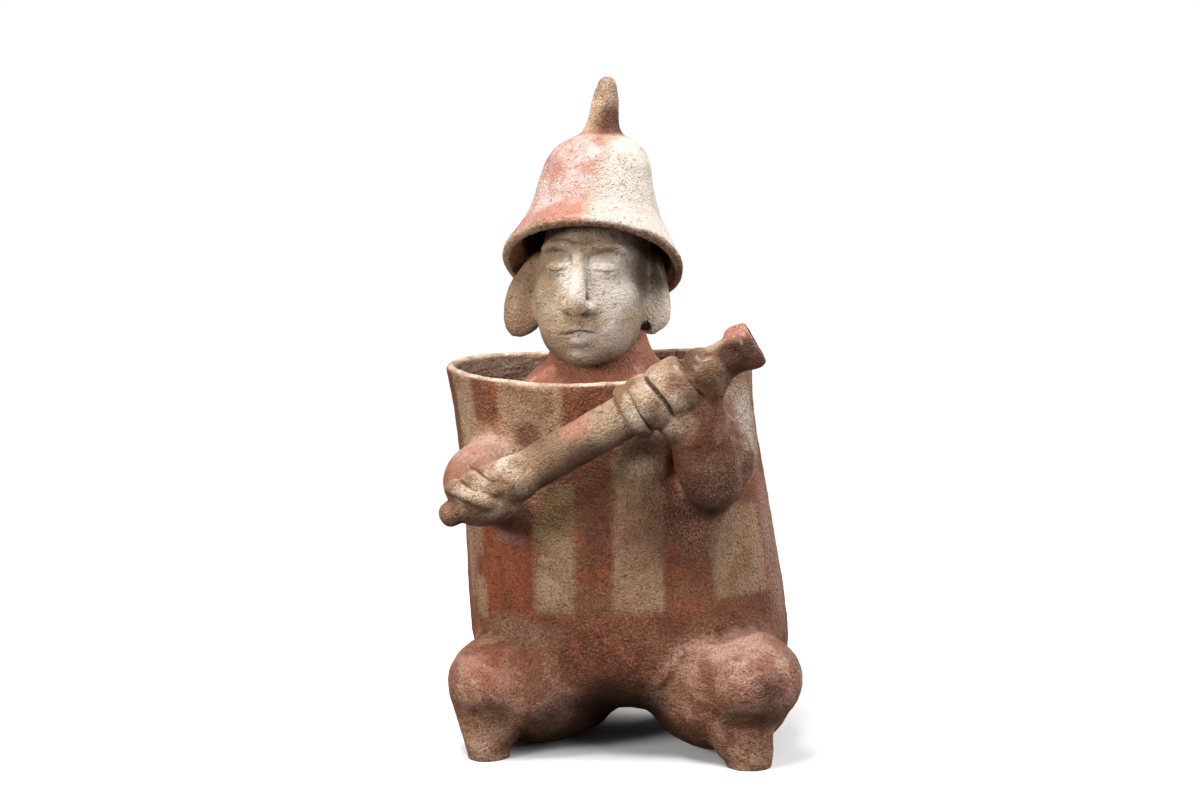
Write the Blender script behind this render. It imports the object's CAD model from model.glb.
"""The looks of a seated warrior figure, built by hand in earthenware, painted with slip and fired.

Places and sizes of the clay are in millimetres on a figure 400 mm tall. Its middle is the crotch, it
faces -Y and its left is +X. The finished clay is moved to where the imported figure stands.
"""

import math

import bmesh
import bpy
import numpy as np
from mathutils import Euler, Matrix, Vector, noise
from mathutils.bvhtree import BVHTree


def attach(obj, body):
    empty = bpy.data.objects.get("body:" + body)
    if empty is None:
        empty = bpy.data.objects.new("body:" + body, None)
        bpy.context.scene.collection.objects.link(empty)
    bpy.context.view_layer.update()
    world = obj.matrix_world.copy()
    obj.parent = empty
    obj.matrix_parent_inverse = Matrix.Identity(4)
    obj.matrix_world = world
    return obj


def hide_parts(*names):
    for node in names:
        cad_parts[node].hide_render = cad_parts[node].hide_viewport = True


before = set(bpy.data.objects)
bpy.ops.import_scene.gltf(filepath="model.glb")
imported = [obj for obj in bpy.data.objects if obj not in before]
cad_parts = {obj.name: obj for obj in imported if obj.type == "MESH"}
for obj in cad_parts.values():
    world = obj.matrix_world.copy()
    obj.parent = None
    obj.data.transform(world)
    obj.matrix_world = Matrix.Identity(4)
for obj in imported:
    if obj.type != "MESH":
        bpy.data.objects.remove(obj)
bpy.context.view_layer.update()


# The studio: a pale floor that runs out to white, a large soft lamp overhead, another at the left
# front and two weaker ones at the right. The camera looks slightly down, from a little to the
# figure's left.
stand_offset = Vector((1.95, 20.14, 0))
camera_place = Vector((0.21775, -1.65236, 0.4741))
camera_turn = math.radians(8)
camera_rise = math.radians(9)
lit_middle = Vector((0, 0, 0.18))
scene = bpy.context.scene
back = Vector((math.sin(camera_turn), -math.cos(camera_turn), 0)) * math.cos(camera_rise)
back.z = math.sin(camera_rise)
right = Vector((math.cos(camera_turn), math.sin(camera_turn), 0))
lens = bpy.data.cameras.new("camera")
lens.lens = 85
lens.sensor_width = 36
camera = bpy.data.objects.new("camera", lens)
square = Matrix((right, back.cross(right), back)).transposed().to_4x4()
camera.matrix_world = Matrix.Translation(camera_place) @ square
scene.collection.objects.link(camera)
scene.camera = camera
scene.view_settings.view_transform = "Standard"

lamps = [
    ("overhead", (-0.35, -0.50, 1.75), 43, 0.70, (1.0, 0.985, 0.96)),
    ("left_front", (-1.25, -1.45, 0.75), 35, 0.60, (1.0, 0.985, 0.96)),
    ("right_side", (1.50, -0.60, 0.90), 22, 0.80, (0.97, 0.985, 1.0)),
    ("far_side", (1.05, 0.90, 1.1), 21, 0.80, (1.0, 0.99, 0.97)),
]
for name, place, power, width, colour in lamps:
    lamp = bpy.data.lights.new(name, "AREA")
    lamp.energy = power
    lamp.size = width
    lamp.color = colour
    lamp_at = bpy.data.objects.new(name, lamp)
    lamp_at.location = place
    aim = lit_middle - Vector(place)
    lamp_at.rotation_euler = aim.to_track_quat("-Z", "Y").to_euler()
    scene.collection.objects.link(lamp_at)


class Reading:
    """A value in a material's nodes, for Python's operators to work on."""

    def __init__(self, socket):
        self.socket = socket

    def __add__(self, other):
        return worked("ADD", self, other)

    def __sub__(self, other):
        return worked("SUBTRACT", self, other)

    def __rsub__(self, other):
        return worked("SUBTRACT", other, self)

    def __mul__(self, other):
        return worked("MULTIPLY", self, other)

    __radd__ = __add__


def node(kind, settings=None, sockets=None, output=0):
    """One node: its settings first, then its sockets, each by name or number, with values or links."""
    made = tree.nodes.new(kind)
    for key, value in (settings or {}).items():
        setattr(made, key, value)
    for key, value in (sockets or {}).items():
        if isinstance(value, Reading):
            tree.links.new(value.socket, made.inputs[key])
        else:
            made.inputs[key].default_value = value
    return Reading(made.outputs[output])


def worked(operation, *values):
    return node("ShaderNodeMath", {"operation": operation}, dict(enumerate(values)))


def rising(value, start, end):
    """0 up to the start, 1 past the end, and smooth between."""
    return node(
        "ShaderNodeMapRange", {"interpolation_type": "SMOOTHSTEP"}, {0: value, 1: start, 2: end}
    )


def over_coat(under, top, cover):
    """One colour brushed over another where cover is 1."""
    colours = [c if isinstance(c, Reading) else (*c, 1) for c in (under, top)]
    return node(
        "ShaderNodeMix", {"data_type": "RGBA"}, {0: cover, 6: colours[0], 7: colours[1]}, output=2
    )


room = bpy.data.worlds.new("room")
scene.world = room
room.use_nodes = True
tree = room.node_tree
direction = node("ShaderNodeTexCoord", output="Generated")
upward = node("ShaderNodeSeparateXYZ", None, {0: direction}, output=2)
ceiling = node(
    "ShaderNodeMapRange",
    {"interpolation_type": "SMOOTHSTEP"},
    {0: upward, 1: -0.05, 2: 0.85, 3: 0.02, 4: 0.38},
)
seen = node("ShaderNodeLightPath", output="Is Camera Ray")
brightness = node("ShaderNodeMix", None, {0: seen, 2: ceiling, 3: 1})
walls = tree.nodes["Background"]
walls.inputs["Color"].default_value = (1, 1, 1, 1)
tree.links.new(brightness.socket, walls.inputs["Strength"])

ground = bmesh.new()
bmesh.ops.create_circle(ground, cap_ends=True, segments=96, radius=9.0)
floor_mesh = bpy.data.meshes.new("floor")
ground.to_mesh(floor_mesh)
ground.free()
floor = bpy.data.objects.new("floor", floor_mesh)
scene.collection.objects.link(floor)
paper = bpy.data.materials.new("pale_floor")
paper.use_nodes = True
tree = paper.node_tree
seen = node("ShaderNodeLightPath", output="Is Camera Ray")
tone = over_coat((0.09, 0.08, 0.07), (0.80, 0.80, 0.80), seen)
matt = tree.nodes["Principled BSDF"]
matt.inputs["Roughness"].default_value = 0.95
tree.links.new(tone.socket, matt.inputs["Base Color"])
away = node(
    "ShaderNodeVectorMath",
    {"operation": "LENGTH"},
    {0: node("ShaderNodeTexCoord", output="Object")},
    output="Value",
)
far = rising(away, 0.25, 0.75) * seen
glow = node("ShaderNodeEmission")
gone = node("ShaderNodeMixShader", None, {0: far, 1: Reading(matt.outputs[0]), 2: glow})
tree.links.new(gone.socket, tree.nodes["Material Output"].inputs["Surface"])
floor_mesh.materials.append(paper)


# The cuirass: a tall barrel of thin clay round the body, closed below and open at the top. It was
# built up from coils and its rim was pinched level by hand. It carries the arms, the legs and a low
# swelling under the club.
forms = {}
rim_roll = -2.5
rim_saddle = 2.5
cuirass_wall = 6.5
collar_depth = 52
cuirass_sizes = [
    (0, 4, 26, 44, 38, 0, 0),
    (0, 4, 31, 76, 57, 0, 0),
    (0, 4, 42, 91, 69, 0, 0),
    (-1, 3, 60, 96.5, 74, 0, 0),
    (-3, 2, 85, 96.5, 75, 0, 0),
    (-6, 1, 115, 94.5, 74, 0, -1),
    (-10, 0, 150, 92, 72.5, 0, -2),
    (-15, 0, 185, 90.5, 71, 0, rim_roll),
    (-17.5, 0, 205, 90.5, 71, 0, rim_roll),
    (-19.5, 0, 222, 92, 71.5, 0, rim_roll),
    (-20, 0, 228, 93, 72, 0, rim_roll),
]


def smooth_through(stations, steps=5):
    """The stations with more set between them, on one smooth curve through them all."""
    rows = np.array(stations, float)
    rows = np.vstack([2 * rows[0] - rows[1], rows, 2 * rows[-1] - rows[-2]])
    t = np.linspace(0, 1, steps, endpoint=False)[:, None]
    spans = []
    for before, start, end, after in zip(rows, rows[1:], rows[2:], rows[3:]):
        bend = 2 * before - 5 * start + 4 * end - after
        twist = 3 * start - before - 3 * end + after
        spans.append(start + 0.5 * ((end - before) * t + bend * t**2 + twist * t**3))
    return np.vstack([*spans, rows[-2]])


def level_rings(stations, steps=5):
    """Ellipses stacked upwards. A station is x, y, z, two half sizes, and lean and roll in degrees."""
    rings = []
    for x, y, z, wide, deep, lean, roll in smooth_through(stations, steps):
        tip = Euler((math.radians(lean), math.radians(roll), 0)).to_matrix().to_4x4()
        rings.append(Matrix.Translation((x, y, z)) @ tip @ Matrix.Diagonal((wide, deep, 1, 1)))
    return rings


def add_loft(clay, rings, pose=None, sides=64, square=2):
    """A closed form: rings bridged in turn, the first and last filled. Square 2 makes ellipses."""
    loops = []
    for matrix in rings:
        made = bmesh.ops.create_circle(clay, segments=sides, radius=1)
        for vert in made["verts"]:
            spot = Vector([math.copysign(abs(n) ** (2 / square), n) for n in vert.co])
            vert.co = (pose or Matrix()) @ matrix @ spot
        loops.append(list({edge for vert in made["verts"] for edge in vert.link_edges}))
    for lower, upper in zip(loops, loops[1:]):
        bmesh.ops.bridge_loops(clay, edges=lower + upper)
    for loop in (loops[0], loops[-1]):
        bmesh.ops.contextual_create(clay, geom=loop)


def add_lump(clay, middle, size, tilt=(0, 0, 0), pose=None):
    """A pressed ball of clay. Its size is three half lengths, and its tilt is in degrees."""
    place = Matrix.Translation(middle) @ Euler([math.radians(a) for a in tilt]).to_matrix().to_4x4()
    bmesh.ops.create_uvsphere(
        clay,
        u_segments=48,
        v_segments=24,
        radius=1,
        matrix=(pose or Matrix()) @ place @ Matrix.Diagonal((*size, 1)),
    )


cuirass = bmesh.new()
outer = smooth_through(cuirass_sizes, 5)
lip = outer[-1] + (0, 0, cuirass_wall / 3, -cuirass_wall / 2, -cuirass_wall / 2, 0, 0)
collar_floor = outer[-1][2] - collar_depth
inner = [
    row - (0, 0, 0, cuirass_wall, cuirass_wall, 0, 0) for row in outer[::-1] if row[2] > collar_floor
]
add_loft(cuirass, level_rings([*outer, lip, *inner], 3), sides=128)
rim_middle = Vector(outer[-1][:3])
for vert in cuirass.verts:
    out = vert.co - rim_middle
    share = max(0, 1 + out.z / 60)
    vert.co.z += rim_saddle * share * (out.x**2 - out.y**2) / (out.x**2 + out.y**2 + 1)
add_lump(cuirass, (13, -60, 181), (21, 16, 28))
forms["cuirass"] = cuirass


# The body inside the barrel: sloping shoulders that rise out of the gap to a thick neck, coiled up
# with the body and left red.
body = bmesh.new()
shoulders = [
    (-15, 2, 150, 76, 58, 0, 0),
    (-15, 2, 178, 72, 54, 0, 0),
    (-16, 2, 198, 64, 47, 0, 0),
    (-17, 3, 212, 55, 39, 0, 0),
    (-18, 5, 222, 44, 32, 0, 0),
    (-19, 7, 232, 33, 27, 0, 0),
    (-21, 7, 245, 29, 25, 0, 0),
    (-22, 6, 262, 28, 25, 0, 0),
]
add_loft(body, level_rings(shoulders))
forms["neck"] = body


# The head: a long egg of clay, flatter in front, tilted back on the neck. The face is plain and calm,
# with a straight nose pinched up, closed eyes under full lids and closed lips.
head_pose = (
    Matrix.Translation((-22.5, -1, 286))
    @ Euler((math.radians(-5), 0, math.radians(-4))).to_matrix().to_4x4()
)


def coil_rings(stations, across=(1, 0, 0), domed=(True, True)):
    """Rings square to a path, with round ends. A station is x, y, z and two half sizes."""
    rows = smooth_through(stations)
    places = [Vector(row[:3]) for row in rows]
    rings = []

    def ring(place, ahead, wide, deep):
        ahead = ahead.normalized()
        side = (Vector(across) - ahead * ahead.dot(Vector(across))).normalized()
        up = ahead.cross(side)
        turned = Matrix((side * wide, up * deep, ahead)).transposed().to_4x4()
        rings.append(Matrix.Translation(place) @ turned)

    def dome(place, ahead, wide, deep, angles):
        for angle in angles:
            out = math.sin(math.radians(abs(angle))) * math.copysign(min(wide, deep), angle)
            share = math.cos(math.radians(angle))
            ring(place + ahead.normalized() * out, ahead, wide * share, deep * share)

    aheads = [b - a for a, b in zip(places, places[1:])]
    aheads = [aheads[0]] + [a + b for a, b in zip(aheads, aheads[1:])] + [aheads[-1]]
    if domed[0]:
        dome(places[0], aheads[0], *rows[0][3:], (-80, -60, -30))
    for place, ahead, row in zip(places, aheads, rows):
        ring(place, ahead, *row[3:])
    if domed[1]:
        dome(places[-1], aheads[-1], *rows[-1][3:], (30, 60, 80))
    return rings


head = bmesh.new()
head_sizes = [
    (0, -21, -56, 9, 9, 0, 0),
    (0, -18, -52, 18.5, 18, 0, 0),
    (0, -12, -43, 27, 27, 0, 0),
    (0, -7, -28, 32.5, 35, 0, 0),
    (0, -2, -10, 34.5, 40, 0, 0),
    (1, 1, 10, 32.5, 41, 0, 0),
    (1, 3, 28, 29, 37, 0, 0),
    (1, 4, 44, 22, 29, 0, 0),
]
add_loft(head, level_rings(head_sizes), head_pose)
nose = [
    (0, -39, 13, 4, 4),
    (0, -42.5, 4, 4.2, 5),
    (0, -46.5, -8, 4.8, 6),
    (0, -49.5, -18, 5.8, 6),
    (0, -49, -22, 5.4, 5),
]
add_loft(head, coil_rings(nose), head_pose)
add_lump(head, (0, -29, -50), (12, 10, 7.5), pose=head_pose)
for side in (-1, 1):
    brow = [
        (side * 3, -40, 11, 3, 2.5),
        (side * 9, -39.5, 14.5, 3.4, 3),
        (side * 17, -36, 15.5, 3.2, 3),
        (side * 24, -29.5, 12, 2.6, 2.5),
    ]
    add_loft(head, coil_rings(brow, across=(0, 0, 1)), head_pose)
    add_lump(head, (side * 6.4, -42.5, -21.5), (4.4, 6, 4.2), pose=head_pose)
    add_lump(head, (side * 14.5, -35.5, 1.5), (8.5, 5, 5), (0, side * 3, side * 20), head_pose)
    add_lump(head, (side * 17, -25, -14), (15.5, 11, 14), (0, 0, side * 25), head_pose)
    upper_lip = [
        (side * 0.5, -40, -34.2, 1.9, 2.5),
        (side * 4, -39.5, -33.6, 2.2, 2.6),
        (side * 9, -36.5, -35.2, 1.7, 2.2),
        (side * 13, -33, -37, 1, 1.6),
    ]
    add_loft(head, coil_rings(upper_lip, across=(0, 0, 1)), head_pose)
lower_lip = [
    (-10, -33.5, -39.5, 1.6, 2),
    (-5, -37, -41, 2.6, 2.8),
    (0, -38.5, -41.5, 2.9, 3),
    (5, -37, -41, 2.6, 2.8),
    (10, -33.5, -39.5, 1.6, 2),
]
add_loft(head, coil_rings(lower_lip, across=(0, 0, 1)), head_pose)
forms["head"] = head


# The ears: flat tabs of clay pressed on below the helmet, with broad lobes. The left lobe is pierced.
ears = bmesh.new()
right_ear = [
    (-38, -3, -34.5, 12, 4.2),
    (-40.5, -3, -30, 14.5, 5.2),
    (-40, -2, -18, 13.5, 6),
    (-36.5, -1, -8, 12, 6),
    (-31, 1, 5, 8.5, 6),
]
left_ear = [
    (33, -3, -33, 8, 4.4),
    (35.5, -3, -26.5, 12, 5.2),
    (35.5, -2, -16, 11.3, 6),
    (34.5, -1, -6, 10, 6),
    (31.5, 1, 6, 9, 6),
]
for ear in (right_ear, left_ear):
    add_loft(ears, coil_rings(ear), head_pose)
forms["ears"] = ears


# The helmet: a thin bell of clay set over the head, its brim turned up over the face and low behind
# the neck, with a pinched crest pulled up from its crown.
helmet_wall = 5
helmet_sizes = [
    (-23.5, 0, 288, 54.5, 60, -32, 0),
    (-23.5, 0, 291, 53.8, 59, -32, 0),
    (-23.3, 1, 299, 49.5, 54, -29, 0),
    (-23, 2, 309, 44, 48, -24, 0),
    (-22.7, 3, 320, 39, 43, -19, 0),
    (-22.3, 4, 335, 34.8, 38.5, -14, 0),
    (-21.2, 5, 348, 31.5, 34, -11, 0),
    (-20, 6, 358, 26, 28, -8, 0),
    (-19.5, 7, 365, 16, 18, -6, 0),
]
helmet = bmesh.new()
bell = smooth_through(helmet_sizes, 3)
rims = [
    bell[0] - (0, 0, 1.2, 0.3 * helmet_wall, 0.3 * helmet_wall, 0, 0),
    bell[0] - (0, 0, 1.2, 0.8 * helmet_wall, 0.8 * helmet_wall, 0, 0),
][::-1]
hollow = [
    row - (0, 0, helmet_wall / 3, helmet_wall, helmet_wall, 0, 0)
    for row in bell
    if row[3] > 3 * helmet_wall
]
add_loft(helmet, level_rings([*hollow[::-1], *rims, *bell], 2), sides=96)
forms["helmet"] = helmet

crest_sizes = [
    (-19.5, 7, 355, 20, 20),
    (-19.3, 7, 361.5, 15.5, 16.5),
    (-19, 7, 368, 11.6, 13),
    (-18.2, 8, 377, 9.2, 10.5),
    (-17, 9, 388, 7.4, 8.5),
    (-16.2, 9, 395, 5.6, 6),
]
crest = bmesh.new()
add_loft(crest, coil_rings(crest_sizes))
forms["crest"] = crest


# The club: a round shaft with a small butt, and an end that flares like a bell mouth. It was rolled,
# pressed into the hands while wet and painted cream.
club_butt = Vector((-91.5, -102, 154.5))
club_end = Vector((79.5, -82, 253.5))
shaft_size = 12.5
mouth_size = 14
along = (club_end - club_butt).normalized()
front = (Vector((0, -1, 0)) + along * along.y).normalized()
over = front.cross(along)
club_sizes = [
    (-6.5, 2),
    (-5, 5),
    (-2, 7),
    (4, 7.6),
    (12, 8.4),
    (22, 11),
    (40, shaft_size),
    (120, shaft_size),
    (168, 12.2),
    (178, 11.3),
    (185, 11.0),
    (189, 11.8),
    (193, 13.4),
    (196.5, mouth_size),
    (199.5, mouth_size - 0.4),
    (201.3, 12.2),
    (200.6, 10.2),
    (198, 8),
    (196, 3),
]


def by_club(up, sideways=0, forward=0):
    """A place by how far it is up the club, above its middle and in front of it."""
    return club_butt + along * up + over * sideways + front * forward


club = bmesh.new()
club_turn = Matrix((over, along.cross(over), along)).transposed().to_4x4()
club_rings = [
    Matrix.Translation(by_club(place)) @ club_turn @ Matrix.Diagonal((size, size, 1, 1))
    for place, size in smooth_through(club_sizes, 3)
]
add_loft(club, club_rings)
add_lump(club, by_club(193, 9), (7.5, 6, 6), (0, -30, 0))
forms["club"] = club


# The right arm: a short, heavy roll from the barrel to a fist that closes round the butt of the club.
# Its fingers are short flattened coils.
def add_finger(clay, place, wide, thick, top, under, slant, lift=0.0, square=2):
    """A flat coil bent round the shaft from the angle top to the angle under, with the front at 0."""
    reach = shaft_size + 0.1 * thick + lift
    stations = []
    for angle in np.linspace(top, under, 7):
        spin = math.radians(angle)
        out = front * math.cos(spin) + over * math.sin(spin)
        spot = by_club(place - slant * spin) + out * reach
        stations.append((*spot, wide, thick))
    add_loft(clay, coil_rings(stations, across=along), sides=48, square=square)


right_arm = bmesh.new()
arm_sizes = [
    (-60, -24, 171, 17, 19),
    (-74, -44, 170, 20, 22),
    (-79, -62, 168.5, 22, 23),
    (-78, -77, 168, 21.5, 22),
    (-74, -89, 167, 19, 19.5),
]
add_loft(right_arm, coil_rings(arm_sizes, across=(0, 0, 1)))
add_lump(right_arm, (-66, -62, 153), (20, 20, 12), (0, -20, 0))
forms["right_arm"] = right_arm
right_hand = bmesh.new()
add_lump(right_hand, (-70, -97, 166.5), (24, 17.5, 18), (0, -30, 0))
add_lump(right_hand, by_club(41, 0, 1.5), (19, 14.2, 14.4), (0, -30, 0))
add_finger(right_hand, 31.8, 4.6, 4.2, 78, 2, 7.8, 0.6)
add_finger(right_hand, 21.1, 5.2, 4.4, 80, -14, 8.7, 0.6)
add_lump(right_hand, by_club(46, 9.4, 8.8), (4.8, 4.2, 4.2))
forms["right_hand"] = right_hand


# The left arm: the upper arm drops from the barrel to a round elbow and the forearm climbs to the
# hand, which folds over the shaft from above in broad flat bands, with the thumb beyond them.
left_arm = bmesh.new()
upper_arm = [(53, -34, 208, 11.5, 11), (58, -48, 199, 13, 13), (64.5, -61, 181, 15.5, 16)]
add_loft(left_arm, coil_rings(upper_arm, across=(0, 0, 1)))
forearm = [
    (55, -70, 170, 19, 17),
    (53, -77, 184, 18.5, 16),
    (49.5, -84, 203, 16.5, 13.5),
    (51, -86, 220, 13, 11),
    (57, -85, 236, 10.5, 9.5),
]
add_loft(left_arm, coil_rings(forearm))
add_lump(left_arm, (56, -57, 166), (20, 18, 14.5), (0, 18, 0))
forms["left_arm"] = left_arm
left_hand = bmesh.new()
add_finger(left_hand, 120.6, 4.7, 4.2, 100, -95, 0.3, square=2.6)
add_finger(left_hand, 132, 6.9, 4.6, 108, -92, 1.2, square=3)
add_finger(left_hand, 149.8, 10.1, 4.8, 112, -80, 1.2, square=3.4)
add_finger(left_hand, 166.2, 5.6, 3.6, 84, 0, -1, -0.6)
add_finger(left_hand, 170, 8, 3.6, 20, -80, 0)
add_lump(left_hand, (41, -90, 211), (14, 9, 15), (0, 30, 0))
forms["left_hand"] = left_hand


# The legs: a thick roll from each hip to a round knee, and a short stump of a foot below the knee.
# The figure sits on the undersides of the rolls and on the two stumps.
legs = bmesh.new()
feet = bmesh.new()
for side, knee, knee_size, haunch, foot, top_in in (
    (-1, (-75.5, -50, 44), (28, 34, 26.5), (-52, 46), (-76.5, -62), 1),
    (1, (77.5, -53, 50.5), (31, 35, 28.5), (56, 43), (77.5, -59), 9),
):
    middle, wide = haunch
    thigh = [
        (middle - side * 3, 44, 26, wide - 11, 26),
        (middle, 16, 28, wide, 28.5),
        (middle, -16, 28.5, wide, 28.5),
        (middle + side * 3, -38, 34, wide - 3, 30),
        (middle + side * 9, -50, knee[2] - 6, wide - 11, 27),
    ]
    add_loft(legs, coil_rings(thigh))
    add_lump(legs, knee, knee_size)
    add_lump(legs, (knee[0] - side * 22, -56, knee[2] + 1), (24, 19, 23), (0, side * 25, 0))
    x, y = foot
    stump = [
        (x - side * top_in, y + 4, 38, 26.5, 21),
        (x - side * top_in * 0.7, y + 3, 26, 22.5, 19),
        (x - side * top_in * 0.3, y + 1, 14, 18, 16),
        (x, y, 5, 14.6, 14.4),
        (x, y, -6, 12, 12),
    ]
    add_loft(feet, coil_rings(stump, domed=(False, False)))
forms["legs"] = legs
forms["feet"] = feet


# The figure as one skin of clay: everything above was joined while it was wet, smoothed over with
# wet fingers, marked with a blunt tool and fired.
def modified(mesh, name, kind, **settings):
    """The mesh as one of Blender's modifiers leaves it."""
    thing = bpy.data.objects.new(name, mesh)
    scene.collection.objects.link(thing)
    change = thing.modifiers.new(name, kind)
    for key, value in settings.items():
        setattr(change, key, value)
    graph = bpy.context.evaluated_depsgraph_get()
    made = bpy.data.meshes.new_from_object(thing.evaluated_get(graph))
    bpy.data.objects.remove(thing)
    return made


def joined(meshes, name):
    """Meshes as one, for the voxels to fuse."""
    heap = bmesh.new()
    for mesh in meshes:
        heap.from_mesh(mesh)
    whole = bpy.data.meshes.new(name)
    heap.to_mesh(whole)
    heap.free()
    return whole


def placed(mesh):
    flat = np.empty(len(mesh.vertices) * 3)
    mesh.vertices.foreach_get("co", flat)
    return flat.reshape(-1, 3)


def facing(mesh):
    flat = np.empty(len(mesh.vertices) * 3)
    mesh.vertices.foreach_get("normal", flat)
    return flat.reshape(-1, 3)


def neighbours(mesh):
    """The two ends of every edge, and how many edges meet at each point."""
    ends = np.empty(len(mesh.edges) * 2, int)
    mesh.edges.foreach_get("vertices", ends)
    ends = ends.reshape(-1, 2)
    return ends[:, 0], ends[:, 1], np.bincount(ends.ravel(), minlength=len(mesh.vertices))[:, None]


def eased(values, net, times, amount=0.5):
    """Each point's values drawn towards its neighbours' a number of times."""
    first, second, meeting = net
    count = len(values)
    for _ in range(times):
        total = np.empty_like(values)
        for column in range(values.shape[1]):
            total[:, column] = np.bincount(first, values[second, column], count)
            total[:, column] += np.bincount(second, values[first, column], count)
        values = values + amount * (total / meeting - values)
    return values


def thumbed(spots):
    """How much a thumb has smoothed each point of the clay, by places and their reach."""
    softness = np.zeros(len(points))
    for middle, reach in spots:
        far_off = np.linalg.norm(points - np.array(middle), axis=1) / reach
        softness = np.maximum(softness, np.clip(1.6 * (1 - far_off), 0, 1))
    return softness[:, None]


surfaces = {}
rolls = {}
for name, form in forms.items():
    bmesh.ops.recalc_face_normals(form, faces=form.faces)
    surfaces[name] = BVHTree.FromBMesh(form)
    rolls[name] = bpy.data.meshes.new(name)
    form.to_mesh(rolls[name])
    form.free()
limbs_and_barrel = ("cuirass", "neck", "right_arm", "left_arm", "legs", "feet")
soft = joined([rolls.pop(name) for name in limbs_and_barrel], "body")
soft = modified(soft, "body", "REMESH", mode="VOXEL", voxel_size=2.0)
points = placed(soft)
net = neighbours(soft)
joins = [
    ((1, -48, 27), 24), ((1, -22, 26), 24), ((1, 5, 26), 24), ((1, 32, 26), 24),
    ((-46, -74, 62), 26), ((-46, -78, 34), 24), ((-20, -66, 50), 28), ((-74, -66, 72), 16),
    ((46, -78, 52), 24), ((24, -68, 46), 26), ((72, -66, 82), 18), ((46, -74, 76), 22),
    ((-96, -30, 62), 18), ((98, -28, 66), 22), ((-74, -72, 24), 18), ((78, -72, 26), 18),
    ((-54, -66, 194), 22), ((-94, -42, 186), 20), ((-56, -68, 142), 26), ((-92, -44, 146), 22),
    ((34, -72, 156), 24), ((56, -60, 146), 24), ((82, -42, 180), 18), ((66, -64, 198), 12),
    ((74, -56, 154), 18), ((70, -40, 212), 14), ((13, -66, 160), 22), ((-75, -58, 197), 16),
]
points = eased(points, net, 110, 0.7 * thumbed(joins))
soft.vertices.foreach_set("co", points.ravel())
soft.update()

grain = 1.0
wet = joined([soft, *rolls.values()], "wet_clay")
wet = modified(wet, "skin", "REMESH", mode="VOXEL", voxel_size=grain)
wet = modified(wet, "soft", "SMOOTH", factor=0.5, iterations=8)
points = placed(wet)
net = neighbours(wet)
joins = [
    ((-20, 7, 366), 20), ((-82, -88, 184), 15), ((-62, -92, 184), 13), ((-50, -84, 160), 14),
    (by_club(173, 13), 9), (by_club(52, 12), 10),
    (by_club(169, -15, 5), 15), (by_club(178, -6, 11), 9),
]
for side in (-1, 1):
    for spot, reach in (((21, -34, -14), 15), ((32, -6, -24), 13), ((16, -36, 24), 10)):
        joins.append((head_pose @ Vector((side * spot[0], *spot[1:])), reach))
points = eased(points, net, 90, 0.6 * thumbed(joins))
wet.vertices.foreach_set("co", points.ravel())
wet.update()


def laid(path):
    """A path moved on to the clay's skin, with more set between its stations."""
    found = [points[np.argmin(((points - np.array(spot)) ** 2).sum(axis=1))] for spot in path]
    return smooth_through(found, 4)


def scored(path, width, depth, bank=0.25):
    """How far the skin sinks along a line drawn with a blunt point, with a low bank beside it."""
    line = laid(path)
    low, high = line.min(axis=0) - 4 * width, line.max(axis=0) + 4 * width
    near = np.flatnonzero(((points > low) & (points < high)).all(axis=1))
    nearest = np.full(len(near), 1e9)
    share = np.zeros(len(near))
    for step, (start, end) in enumerate(zip(line, line[1:])):
        run = end - start
        along_run = np.clip((points[near] - start) @ run / max(run @ run, 1e-9), 0, 1)
        gap = np.linalg.norm(points[near] - start - along_run[:, None] * run, axis=1)
        share = np.where(gap < nearest, (step + along_run) / (len(line) - 1), share)
        nearest = np.minimum(nearest, gap)
    fade = np.clip(np.minimum(share, 1 - share) * 6, 0.15, 1)
    sink = np.zeros(len(points))
    sink[near] = depth * fade * np.exp(-((nearest / width) ** 2))
    sink[near] -= bank * depth * fade * np.exp(-(((nearest - 2 * width) / width) ** 2))
    return sink


def dented(spot, width, depth):
    middle = points[np.argmin(((points - np.array(spot)) ** 2).sum(axis=1))]
    return depth * np.exp(-((points - middle) ** 2).sum(axis=1) / width**2)


def round_club(*stations):
    """Places on the hands, by how far up the club and the angle round it."""
    reach = 17
    path = []
    for place_up, angle_round in stations:
        spin = math.radians(angle_round)
        out = front * math.cos(spin) + over * math.sin(spin)
        path.append(by_club(place_up) + out * reach)
    return path


def on_face(*spots):
    return [head_pose @ Vector(spot) for spot in spots]


normals = facing(wet)
sunk = np.zeros(len(points))
knee_seam = [(22, -76, 44), (27, -75, 50), (41, -74, 71), (62, -70, 81.5), (78, -60, 84), (90, -46, 83)]
lip_line = on_face(
    (-12.5, -35, -37.2), (-6, -41, -37), (0, -43, -36.7), (6, -41, -37), (12.5, -35, -37.2)
)
for path, width, depth in (
    (round_club((125, 78), (125, 40), (125.1, 0), (125.3, -40), (125.6, -80)), 0.8, 1.0),
    (round_club((137.5, 80), (138.2, 45), (139.2, 10), (140, -20), (141, -55)), 1.0, 2.6),
    (round_club((160, 50), (160.2, 20), (160.3, -10), (160.2, -50)), 0.9, 1.8),
    (round_club((22.5, 106), (24, 92), (26.7, 76), (28.9, 60), (31.8, 36), (36.2, 7)), 1.3, 1.7),
    (round_club((15, 86), (18.1, 55), (20.8, 32), (23.8, 15)), 1.2, 1.4),
    (knee_seam, 2.6, -1.4),
    ([(44, -80, 66), (60, -80, 76), (76, -74, 79)], 2.2, 0.7),
    (lip_line, 0.75, 1.3),
):
    sunk += scored(path, width, depth)
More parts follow.
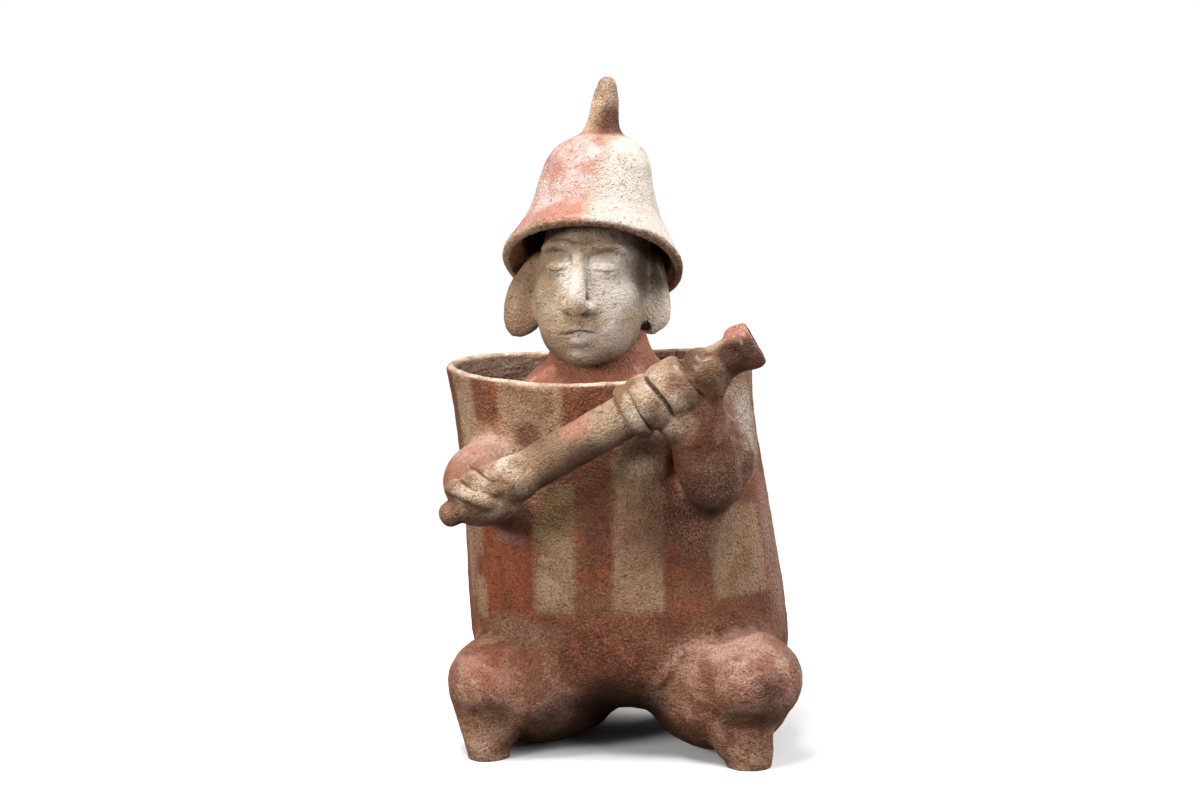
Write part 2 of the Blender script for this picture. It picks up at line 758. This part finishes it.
for side in (-1, 1):
    lid = on_face(
        (side * 7, -42, 1.2),
        (side * 11, -42, -0.8),
        (side * 15, -41, -1.4),
        (side * 19, -38, -0.6),
        (side * 22.5, -34, 1.4),
    )
    fold = on_face(
        (side * 7, -41, 5.4),
        (side * 12, -41, 7.2),
        (side * 17, -38, 7.2),
        (side * 22, -33, 5),
    )
    sunk += scored(lid, 0.7, 1.0) + scored(fold, 0.8, 0.5)
    sunk += dented(head_pose @ Vector((side * 3.5, -47, -27.5)), 1.7, 2.2)
for spot, width, depth in (
    ((12, -76, 188), 0.9, 1.4), ((-71.5, -84, 182), 1.0, 1.6), ((38, -103, 235), 0.9, 1.1),
    ((-58.5, -78, 60), 2.2, 0.8), ((-39, -30, 340), 0.7, 0.9), ((-32.6, -33, 344.6), 0.6, 0.7),
    ((-38, -40, 330), 0.8, 0.9), ((-29.5, -20, 364), 0.8, 0.8), ((-17, 3, 398), 1.6, 1.3),
    (by_club(187, 4, 12), 4.5, 1.6),
    ((-62, -82, 3), 9, 3.0), ((-62, -60, 3), 9, 2.0), ((-94, -88, 6), 8, -1.2),
):
    sunk += dented(spot, width, depth)
rough_foot = np.clip(1.4 - np.linalg.norm(points - np.array([79, -74, 6]), axis=1) / 12, 0, 1)
for index, point in enumerate(points):
    broad = noise.noise(Vector(point / 26))
    fine = noise.fractal(Vector(point / 7), 0.9, 2.0, 3)
    sunk[index] += 0.5 * broad + (0.26 + 0.8 * rough_foot[index]) * fine
points = points - normals * sunk[:, None]
wet.vertices.foreach_set("co", points.ravel())
wet.update()

wet.calc_loop_triangles()
most_triangles = 192000
share = min(1.0, most_triangles / len(wet.loop_triangles))
wet = modified(wet, "fewer", "DECIMATE", ratio=share)

ear_hole = Vector((9.8, -4, 259.6))
hole_way = Vector((0, 1, 0.6)).normalized()
hole_size = 2.7
pin = bmesh.new()
pin_turn = hole_way.to_track_quat("Z", "Y").to_matrix().to_4x4()
bmesh.ops.create_cone(
    pin,
    cap_ends=True,
    segments=24,
    radius1=hole_size,
    radius2=hole_size,
    depth=22,
    matrix=Matrix.Translation(ear_hole) @ pin_turn @ Matrix.Diagonal((1, 1.2, 1, 1)),
)
pin_mesh = bpy.data.meshes.new("pin")
pin.to_mesh(pin_mesh)
pin.free()
piercer = bpy.data.objects.new("pin", pin_mesh)
scene.collection.objects.link(piercer)
wet = modified(wet, "hole", "BOOLEAN", operation="DIFFERENCE", object=piercer, solver="EXACT")
bpy.data.objects.remove(piercer)

skin = bmesh.new()
skin.from_mesh(wet)
everything = skin.verts[:] + skin.edges[:] + skin.faces[:]
bmesh.ops.bisect_plane(skin, geom=everything, plane_co=(0, 0, 0), plane_no=(0, 0, 1), clear_inner=True)
bmesh.ops.holes_fill(skin, edges=[edge for edge in skin.edges if edge.is_boundary], sides=0)
bmesh.ops.triangulate(skin, faces=[face for face in skin.faces if len(face.verts) > 4])
skin.to_mesh(wet)
skin.free()
wet.update()

points = placed(wet)
normals = facing(wet)
farthest = 12
gaps = {name: np.empty(len(points)) for name in surfaces}
for name, surface in surfaces.items():
    gap = gaps[name]
    for index, point in enumerate(points):
        hit = surface.find_nearest(Vector(point), farthest)
        gap[index] = farthest if hit[3] is None else hit[3]


def kept(name, values):
    """Keeps a number for each point of the clay, for the paint to read."""
    wet.attributes.new(name, "FLOAT", "POINT").data.foreach_set("value", values)


for name, gap in gaps.items():
    others = np.min([other for key, other in gaps.items() if key != name], axis=0)
    blend = 9 if name in (*limbs_and_barrel, "crest") else 4
    kept(name, np.clip(0.5 + (others - gap) / blend, 0, 1))


def from_pin(spots):
    """How far each place is along the ear hole's axis, and how far off it."""
    reach = spots - np.array(ear_hole)
    along_axis = reach @ np.array(hole_way)
    return along_axis, np.linalg.norm(reach - along_axis[:, None] * np.array(hole_way), axis=1)


over_knee = [(24, -76, 47), (41, -74, 71), (62, -70, 81.5), (80, -58, 84), (97, -34, 83)]
kept("seam", scored(over_knee, 7, 1.0, 0))
along_pin, off_pin = from_pin(points)
kept("hole", np.clip(hole_size + 0.7 - off_pin, 0, 1) * (np.abs(along_pin) < 14))
net = neighbours(wet)
fine = ((eased(points, net, 4) - points) * normals).sum(axis=1)
broad = ((eased(points, net, 30) - points) * normals).sum(axis=1)
kept("crease", np.clip(eased(fine[:, None], net, 1)[:, 0] / 0.35, -1, 1))
kept("dip", np.clip(eased(broad[:, None], net, 3)[:, 0] / 2.5, -1, 1))
collar_middle = np.array([-18.0, 0.0])
outward = points[:, :2] - collar_middle
outward /= np.linalg.norm(outward, axis=1)[:, None] + 1e-6
inward = -(normals[:, :2] * outward).sum(axis=1)
kept("inside", np.clip(inward * 2 + 0.2, 0, 1))
rim_slope = 0.044
on_rim = np.clip((points[:, 2] + rim_slope * (points[:, 0] + 20) - 218) / 6, 0, 1)
kept("lip", np.clip(normals[:, 2] * 3 - 1, 0, 1) * on_rim)
tilt = math.radians(helmet_sizes[0][5])
bell_axis = np.array([0, -math.sin(tilt), math.cos(tilt)])
above_brim = (points - np.array(helmet_sizes[0][:3])) @ bell_axis
edge = 1.2
wider = 10 * np.clip((-46 - points[:, 0]) / 14, 0, 1) + 4 * np.clip((points[:, 0] - 8) / 10, 0, 1)
facing_out = (normals @ bell_axis < 0.3) | (above_brim < edge)
kept("brim", np.clip((edge + wider - above_brim) / 1.6, 0, 1) * facing_out)
kept("under", np.clip(-1.5 * normals[:, 2] - 0.2, 0, 1) * (points[:, 2] < 215))
kept("hem", np.clip((16 - above_brim) / 10, 0, 1))

points = (points + np.array(stand_offset)) / 1000
wet.vertices.foreach_set("co", points.ravel())
wet.name = "fired_figure"
wet.shade_smooth()
across_hole = np.abs(np.array([face.normal for face in wet.polygons]) @ np.array(hole_way)) < 0.4
middles = np.array([face.center for face in wet.polygons]) * 1000 - np.array(stand_offset)
for index in np.flatnonzero((from_pin(middles)[1] < hole_size + 1.3) & across_hole):
    wet.polygons[int(index)].use_smooth = False
wet.update()
figure = bpy.data.objects.new("fired_figure", wet)
scene.collection.objects.link(figure)
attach(figure, "root")
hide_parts("warrior_figure")


# The slip and the years: red and cream slip brushed on in broad upright bands, rubbed to a low sheen
# and fired, then worn, stained and pitted in the ground.
clay_paint = bpy.data.materials.new("slip_painted_earthenware")
clay_paint.use_nodes = True
tree = clay_paint.node_tree
shader = tree.nodes["Principled BSDF"]


def limited(value, low=0.0, high=1.0):
    return node("ShaderNodeClamp", None, {0: value, 1: low, 2: high})


def between(value, low, high, soft):
    return rising(value, low - soft, low + soft) * (1 - rising(value, high - soft, high + soft))


def shaded(colour, amount):
    """A colour made darker or lighter by a factor."""
    grey = node("ShaderNodeCombineXYZ", None, {0: amount, 1: amount, 2: amount})
    return node("ShaderNodeVectorMath", {"operation": "MULTIPLY"}, {0: colour, 1: grey})


def mottle(scale, detail, rough=0.55, stretch=(1, 1, 1)):
    """Cloudy noise, finer as the scale grows."""
    spot = node("ShaderNodeVectorMath", {"operation": "MULTIPLY"}, {0: place, 1: stretch})
    return node(
        "ShaderNodeTexNoise", None, {"Vector": spot, "Scale": scale, "Detail": detail, "Roughness": rough}
    )


def region(name):
    """The number kept under this name for each point of the clay."""
    return node("ShaderNodeAttribute", {"attribute_name": name}, output="Fac")


place = node("ShaderNodeTexCoord", output="Object")
aside, behind, height = (
    node("ShaderNodeSeparateXYZ", None, {0: place}, output=i) * 1000 for i in range(3)
)
barrel_x = -12
barrel_y = 21
barrel_wide, barrel_deep = cuirass_sizes[-1][3:5]
round_barrel = (aside - barrel_x) * (barrel_deep / barrel_wide)
angle = worked("ARCTAN2", round_barrel, barrel_y - behind) * (180 / math.pi)

# Slip recipes, the sandy clay that shows where the slip has gone, and earth from the ground
deep_red = (0.150, 0.047, 0.025)
orange_red = (0.310, 0.084, 0.038)
brown_red = (0.195, 0.075, 0.040)
cream = (0.345, 0.220, 0.136)
stained_cream = (0.265, 0.158, 0.086)
white = (0.700, 0.630, 0.560)
pink = (0.520, 0.285, 0.225)
sand = (0.330, 0.195, 0.115)
earth = (0.030, 0.014, 0.007)
umber = (0.095, 0.044, 0.022)

blotch = mottle(28, 4)
clouds = mottle(46, 5, 0.62)
patches = mottle(75, 4)
smears = mottle(110, 4, 0.65, stretch=(1, 1, 0.35))
grit = mottle(430, 3, 0.6)
crumbs = mottle(700, 2, 0.6)
speck = mottle(1300, 2, 0.6)
waver = (mottle(38, 5, 0.65) - 0.5) * 11
fray = (mottle(160, 3, 0.7) - 0.5) * 5


def near(spot, reach):
    """1 at a place on the clay, given in millimetres, and 0 past its reach."""
    far_off = node(
        "ShaderNodeVectorMath",
        {"operation": "DISTANCE"},
        {0: place, 1: [(n + shift) / 1000 for n, shift in zip(spot, stand_offset)]},
        output="Value",
    )
    return 1 - rising(far_off * 1000 + waver * 0.8 + fray, reach * 0.4, reach)


def dabbed(colour, *dabs):
    """A colour with dabs of others on it. A dab has a place, a reach, a colour and a strength."""
    for spot, reach, dab, strength in dabs:
        colour = over_coat(colour, dab, near(spot, reach) * strength)
    return colour


# Upright bands on the barrel, by the angles and heights where they start and end, and their strength
bands = [
    (-66, -51, 180, 240, 0.9),
    (-56, -36, 178, 199, 0.75),
    (-37, -11, 178, 240, 0.85),
    (-59, -52, 118, 136, 0.7),
    (-61, -50, 80, 103, 0.85),
    (-22.5, -6.5, 90, 166, 0.85),
    (7.5, 25, 92, 194, 0.75),
    (12, 24, 194, 240, 0.8),
    (44, 71, 99, 152, 0.8),
    (55, 88, 178, 240, 0.8),
    (100, 124, 92, 240, 0.8),
    (150, 176, 92, 172, 0.85),
    (-180, -156, 172, 240, 0.8),
    (-132, -110, 95, 176, 0.85),
    (-100, -84, 176, 240, 0.8),
]
swept = angle + waver * 0.3 + fray * 0.5
level = height + waver * 0.6 + fray * 0.9
paint = over_coat(brown_red, deep_red, rising(blotch, 0.40, 0.60))
paint = over_coat(paint, orange_red, rising(patches, 0.50, 0.66) * 0.5)
bright = between(swept, -56, -20, 3) * between(level, 84, 146, 6)
paint = over_coat(paint, orange_red, bright * (0.35 + rising(smears, 0.42, 0.58) * 0.6))
aged_cream = over_coat(cream, stained_cream, rising(patches + clouds, 0.92, 1.14))
for start, end, low, high, strength in bands:
    mask = between(swept, start, end, 1.7) * between(level, low, high, 3)
    paint = over_coat(paint, aged_cream, mask * (strength + (smears - 0.5) * 0.9))

# Stains on the barrel, by angle, height, half width in degrees and half height
for turned, up, wide, tall, colour, strength in (
    (-60, 206, 9, 24, (0.430, 0.310, 0.210), 0.6),
    (-66, 130, 10, 60, (0.370, 0.235, 0.165), 0.7),
    (-14, 154, 10, 19, (0.200, 0.112, 0.040), 0.75),
    (-14, 106, 9, 18, (0.460, 0.315, 0.220), 0.7),
    (16, 106, 10, 18, (0.290, 0.175, 0.108), 0.6),
    (-31, 76, 23, 14, (0.370, 0.215, 0.145), 0.65),
    (-25, 196, 8, 9, (0.085, 0.024, 0.014), 1.0),
    (-33, 133, 11, 7, (0.340, 0.200, 0.165), 0.75),
    (2, 150, 8, 24, (0.080, 0.034, 0.022), 0.6),
    (14, 180, 9, 10, (0.560, 0.400, 0.290), 0.8),
    (14, 158, 11, 7, (0.160, 0.090, 0.050), 0.5),
    (17, 132, 9, 18, (0.190, 0.115, 0.070), 0.45),
    (34, 140, 22, 32, (0.052, 0.021, 0.013), 0.75),
    (68, 196, 20, 32, (0.540, 0.460, 0.400), 0.85),
    (82, 120, 14, 60, (0.370, 0.240, 0.190), 0.7),
    (-48, 200, 10, 34, (0.150, 0.070, 0.042), 0.4),
):
    off_turn = (swept - turned) * (1 / wide)
    off_up = (level - up) * (1 / tall)
    spread = worked("SQRT", off_turn * off_turn + off_up * off_up)
    mask = (1 - rising(spread, 0.35, 1.1)) * (0.5 + rising(crumbs, 0.42, 0.56) * 0.5)
    paint = over_coat(paint, colour, mask * strength)
low_down = 1 - rising(level, 60, 100)
paint = over_coat(paint, (0.050, 0.024, 0.014), rising(smears, 0.50, 0.64) * low_down * 0.45)
paint = over_coat(paint, (0.105, 0.050, 0.028), rising(clouds, 0.50, 0.68) * 0.3)
paint = over_coat(paint, sand, rising(crumbs, 0.52, 0.66) * (0.22 + low_down * 0.15))
lip_slip = over_coat((0.440, 0.300, 0.210), (0.680, 0.520, 0.400), rising(patches, 0.42, 0.56))
lip_slip = over_coat(lip_slip, (0.860, 0.680, 0.550), near((-66, -36, 222), 28) * 0.8)
paint = over_coat(paint, lip_slip, region("lip") * region("cuirass") * 0.95)

# Inside the collar, and the red neck that rises from it
inside = region("inside") * region("cuirass") * (1 - region("lip"))
streaks = mottle(60, 3, 0.6, stretch=(1, 1, 9))
within = over_coat((0.150, 0.080, 0.055), (0.300, 0.195, 0.145), rising(streaks, 0.40, 0.62))
within = over_coat(within, (0.620, 0.350, 0.280), rising(aside, 10, 55) * 0.75)
paint = over_coat(paint, within, inside)
neck_slip = over_coat((0.310, 0.115, 0.070), pink, rising(patches, 0.52, 0.72))
paint = over_coat(paint, neck_slip, region("neck"))

# The head's pale slip, brown with handling and earth towards the chin, under the brim and at the ears
head_slip = over_coat(
    (0.420, 0.305, 0.205),
    white,
    rising(blotch + patches * 0.5 + aside * 0.003, 0.62, 0.86),
)
lower_face = 1 - rising(height + fray, 236, 262)
head_slip = over_coat(head_slip, (0.180, 0.105, 0.064), lower_face * 0.85)
brow_shade = rising(height + fray, 290, 308)
head_slip = over_coat(head_slip, (0.200, 0.120, 0.072), brow_shade * 0.6)
head_slip = dabbed(
    head_slip,
    (head_pose @ Vector((20, -36, -14)), 20, white, 0.7),
    ((19, -14, 289), 32, (0.035, 0.016, 0.009), 0.9),
    (head_pose @ Vector((-28, -32, -12)), 26, (0.260, 0.170, 0.105), 0.6),
    (head_pose @ Vector((0, -46, -8)), 16, white, 0.6),
    ((-2, -32, 249), 14, (0.480, 0.385, 0.300), 0.6),
    (head_pose @ Vector((0, -48, -30)), 11, (0.330, 0.175, 0.120), 0.6),
)
paint = over_coat(paint, head_slip, limited(region("head") + region("ears")))
ear_slip = over_coat((0.250, 0.145, 0.082), (0.640, 0.520, 0.400), rising(aside, -30, 0))
paint = over_coat(paint, ear_slip, region("ears") * 0.8)
paint = over_coat(paint, (0.035, 0.016, 0.009), near((16, -4, 288), 24) * region("ears") * 0.92)
paint = over_coat(paint, (0.720, 0.610, 0.500), near((18, -6, 264), 14) * region("ears") * 0.6)

# The helmet, reddish on its right side and cream on its left, with bare clay along its lip
helmet_side = aside - ((height - 300) * 0.26 - 32) + waver
reddish = over_coat(
    (0.400, 0.215, 0.170),
    (0.570, 0.430, 0.415),
    rising(blotch + patches * 0.5, 0.66, 0.84),
)
reddened = rising(smears + (1 - rising(helmet_side, -40, 0)) * 0.06, 0.50, 0.70)
reddish = over_coat(reddish, (0.400, 0.145, 0.080), reddened * 0.7)
reddish = over_coat(reddish, (0.420, 0.130, 0.070), region("hem") * rising(patches, 0.40, 0.56) * 0.7)
reddish = over_coat(reddish, (0.470, 0.185, 0.110), rising(grit, 0.50, 0.64) * 0.45)
helmet_slip = over_coat(reddish, (0.640, 0.560, 0.490), rising(helmet_side + (smears - 0.5) * 14, 0, 16))
helmet_slip = over_coat(helmet_slip, (0.480, 0.325, 0.215), rising(patches, 0.54, 0.68) * 0.45)
handled_front = near((-3, -42, 318), 36) * rising(helmet_side, 0, 16)
helmet_slip = over_coat(helmet_slip, (0.500, 0.435, 0.380), handled_front * 0.6)
paint = over_coat(paint, helmet_slip, region("helmet"))
lip_clay = over_coat((0.180, 0.105, 0.062), (0.330, 0.210, 0.135), rising(grit, 0.40, 0.58))
lip_clay = over_coat(lip_clay, (0.480, 0.320, 0.220), (1 - rising(aside, -58, -44)) * 0.8)
paint = over_coat(paint, lip_clay, region("helmet") * region("brim"))
hollow_of_helmet = region("helmet") * region("inside") * (1 - region("brim"))
paint = over_coat(paint, (0.030, 0.013, 0.006), hollow_of_helmet)
crest_slip = over_coat((0.500, 0.330, 0.215), (0.100, 0.038, 0.022), near((-7, -5, 372), 22))
crest_slip = over_coat(crest_slip, (0.290, 0.195, 0.132), near((-17, 6, 398), 16) * 0.9)
paint = over_coat(paint, crest_slip, region("crest"))

# The club, the hands that hold it and the arms, dark where earth has stayed
up_club = node(
    "ShaderNodeVectorMath",
    {"operation": "DOT_PRODUCT"},
    {0: place, 1: list(along)},
    output="Value",
) * 1000 - (club_butt + stand_offset).dot(along)
shaft_slip = over_coat((0.165, 0.094, 0.053), (0.350, 0.240, 0.160), rising(up_club + waver, 56, 114))
shaft_slip = over_coat((0.320, 0.220, 0.142), shaft_slip, rising(up_club + waver, 50, 64))
shaft_slip = over_coat(shaft_slip, (0.150, 0.080, 0.044), rising(up_club + waver, 158, 168))
shaft_slip = over_coat(shaft_slip, (0.065, 0.027, 0.014), rising(up_club + waver, 174, 184) * 0.9)
shaft_slip = over_coat((0.215, 0.112, 0.066), shaft_slip, rising(up_club + fray, 8, 26))
shaft_slip = over_coat(shaft_slip, (0.240, 0.085, 0.050), rising(patches, 0.54, 0.66) * 0.5)
shaft_slip = dabbed(
    shaft_slip,
    (by_club(45, 13, 6), 10, (0.700, 0.620, 0.520), 0.95),
    (by_club(40, 0, 13), 11, (0.420, 0.210, 0.160), 0.5),
    (by_club(50, -12, 7), 15, (0.090, 0.042, 0.025), 0.75),
    (by_club(88, 9, 8), 12, (0.380, 0.150, 0.100), 0.65),
    (by_club(58, 3, 12), 11, (0.230, 0.140, 0.085), 0.5),
    (by_club(84, -8, 9), 16, (0.085, 0.034, 0.020), 0.6),
    (by_club(196, 13, 4), 13, (0.420, 0.190, 0.135), 0.9),
    (by_club(197, -10, 6), 13, (0.170, 0.068, 0.042), 0.8),
    (by_club(180, 12, 2), 9, (0.480, 0.330, 0.250), 0.7),
    (by_club(186, 0, 13), 13, (0.060, 0.026, 0.015), 0.85),
)
paint = over_coat(paint, shaft_slip, region("club"))
hand_slip = over_coat(
    (0.215, 0.122, 0.070),
    (0.450, 0.325, 0.230),
    rising(patches + blotch * 0.4, 0.58, 0.84),
)
hand_slip = over_coat(hand_slip, (0.160, 0.088, 0.050), near(by_club(172, 0, 10), 18) * 0.75)
paint = over_coat(paint, hand_slip, limited(region("right_hand") + region("left_hand")))
paint = dabbed(
    paint,
    (by_club(164, 10, 11), 13, umber, 0.9),
    (by_club(121, -2, 17), 11, (0.600, 0.470, 0.370), 0.6),
    (by_club(137, -3, 17), 10, (0.230, 0.130, 0.080), 0.4),
    (by_club(162, -2, 16), 15, (0.140, 0.068, 0.038), 0.6),
    (by_club(160, -14, 9), 16, (0.080, 0.036, 0.020), 0.6),
    (by_club(43, 11, 7), 9, (0.660, 0.570, 0.470), 0.8),
)
arm_slip = over_coat((0.260, 0.115, 0.070), (0.450, 0.285, 0.220), near((-78, -66, 190), 34))
arm_slip = over_coat(arm_slip, (0.390, 0.165, 0.108), rising(patches, 0.48, 0.62) * 0.65)
paint = over_coat(paint, arm_slip, region("right_arm"))
paint = over_coat(paint, arm_slip, near((-72, -98, 184), 16) * region("right_hand") * 0.5)
under_fist = near((-40, -98, 168), 13) + near((-60, -98, 158), 12) * 0.5
paint = over_coat(paint, (0.085, 0.038, 0.022), limited(under_fist) * region("right_hand") * 0.75)
arm_slip = over_coat((0.110, 0.040, 0.021), (0.215, 0.105, 0.062), rising(patches, 0.46, 0.66))
arm_slip = over_coat(arm_slip, earth, rising(crumbs, 0.48, 0.62) * near((66, -76, 166), 36) * 0.45)
arm_slip = over_coat(arm_slip, sand, near((80, -46, 200), 20) * 0.45)
paint = over_coat(paint, arm_slip, region("left_arm") * 0.95)
paint = over_coat(paint, (0.100, 0.038, 0.020), near((34, -94, 190), 18) * region("left_arm") * 0.5)
worn_elbow = near((62, -76, 156), 50) * (1 - region("left_hand"))
paint = over_coat(paint, (0.420, 0.265, 0.185), rising(speck, 0.50, 0.60) * worn_elbow * 0.45)

# The legs and feet, rubbed pale on top and dark between
leg_slip = over_coat(
    (0.205, 0.080, 0.046),
    (0.330, 0.175, 0.120),
    rising(patches + crumbs * 0.3, 0.60, 0.76),
)
rubbed = rising(region("dip") * -1, 0.15, 0.60)
leg_slip = over_coat(leg_slip, (0.420, 0.260, 0.200), rubbed * rising(grit, 0.38, 0.60) * 0.35)
leg_slip = over_coat(
    leg_slip,
    (0.470, 0.300, 0.240),
    near((66, -72, 82), 28) * rising(patches, 0.30, 0.56) * 0.8,
)
leg_slip = over_coat(leg_slip, (0.390, 0.220, 0.190), near((-50, -80, 66), 13) * 0.5)
leg_slip = over_coat(
    leg_slip,
    (0.330, 0.090, 0.048),
    near((-72, -84, 64), 27) * rising(grit, 0.42, 0.58) * 0.75,
)
paint = over_coat(paint, leg_slip, limited(region("legs") + region("feet")))
paint = over_coat(paint, (0.430, 0.250, 0.185), region("seam") * (0.35 + rising(grit, 0.40, 0.60) * 0.4))
paint = dabbed(
    paint,
    ((88.5, -80, 51), 14, (0.090, 0.038, 0.024), 0.75),
    ((-36, -82, 52), 18, (0.080, 0.034, 0.020), 0.5),
)
paint = over_coat(paint, sand, near((79, -74, 4), 24) * rising(grit, 0.38, 0.58) * 0.9)
paint = over_coat(paint, sand, near((-80, -80, 8), 30) * rising(grit, 0.34, 0.56) * 0.8)
paint = dabbed(
    paint,
    ((4, -46, 14), 50, (0.022, 0.009, 0.005), 0.95),
    ((-32, -60, 24), 30, (0.026, 0.011, 0.006), 0.75),
    ((-4, -58, 36), 28, (0.022, 0.009, 0.005), 0.8),
)
paint = over_coat(paint, (0.390, 0.215, 0.150), near((28, -70, 36), 20) * rising(grit, 0.36, 0.56) * 0.5)
paint = dabbed(
    paint,
    ((-78, -92, 6), 24, (0.460, 0.290, 0.230), 0.7),
    ((-68, -86, 28), 16, (0.080, 0.034, 0.020), 0.55),
)

# Earth in the hollows, small stains and the grain of the clay
paint = over_coat(paint, earth, region("under") * 0.6)
hidden = rising(region("dip"), 0.10, 0.70)
paint = shaded(paint, 1 - hidden * 0.25)
stains = rising(mottle(620, 3, 0.6), 0.58, 0.68) * rising(blotch, 0.36, 0.60)
paint = over_coat(paint, umber, stains * (0.6 - limited(region("helmet") + region("head")) * 0.35))
dirt = limited(rising(region("crease"), 0.28, 0.95) + region("hole"))
paint = over_coat(paint, earth, region("hole") + dirt * 0.6)
smooth_parts = limited(region("helmet") + region("head") + region("ears"))
graininess = (speck - 0.5) * 1.8 + (crumbs - 0.5) * 0.9 + (grit - 0.5) * 0.7
paint = shaded(paint, 0.98 + graininess * (1 - smooth_parts * 0.5))
tree.links.new(paint.socket, shader.inputs["Base Color"])

# The low sheen of rubbed slip, most where hands have passed
polish = 0.46 + (grit - 0.5) * 0.4 + (patches - 0.5) * 0.3 + dirt * 0.3
tree.links.new(limited(polish, 0.3, 0.9).socket, shader.inputs["Roughness"])
handled = rising(region("dip") * -1, 0.05, 0.50) * (1 - dirt) * (0.2 + rising(patches, 0.40, 0.60) * 0.5)
tree.links.new(limited(handled * 0.5).socket, shader.inputs["Coat Weight"])
shader.inputs["Coat Roughness"].default_value = 0.28
shader.inputs["Specular IOR Level"].default_value = 0.14

# Pits and grain too fine for the mesh
pits = rising(mottle(300, 2, 0.5), 0.64, 0.74)
surface = (grit - 0.5) * 0.7 + (crumbs - 0.5) * 0.9 + (speck - 0.5) * 0.4 + (patches - 0.5) * 0.7 - pits
relief = node(
    "ShaderNodeBump", None, {"Strength": 0.9, "Distance": 0.0022, "Height": surface}
)
tree.links.new(relief.socket, shader.inputs["Normal"])
wet.materials.append(clay_paint)
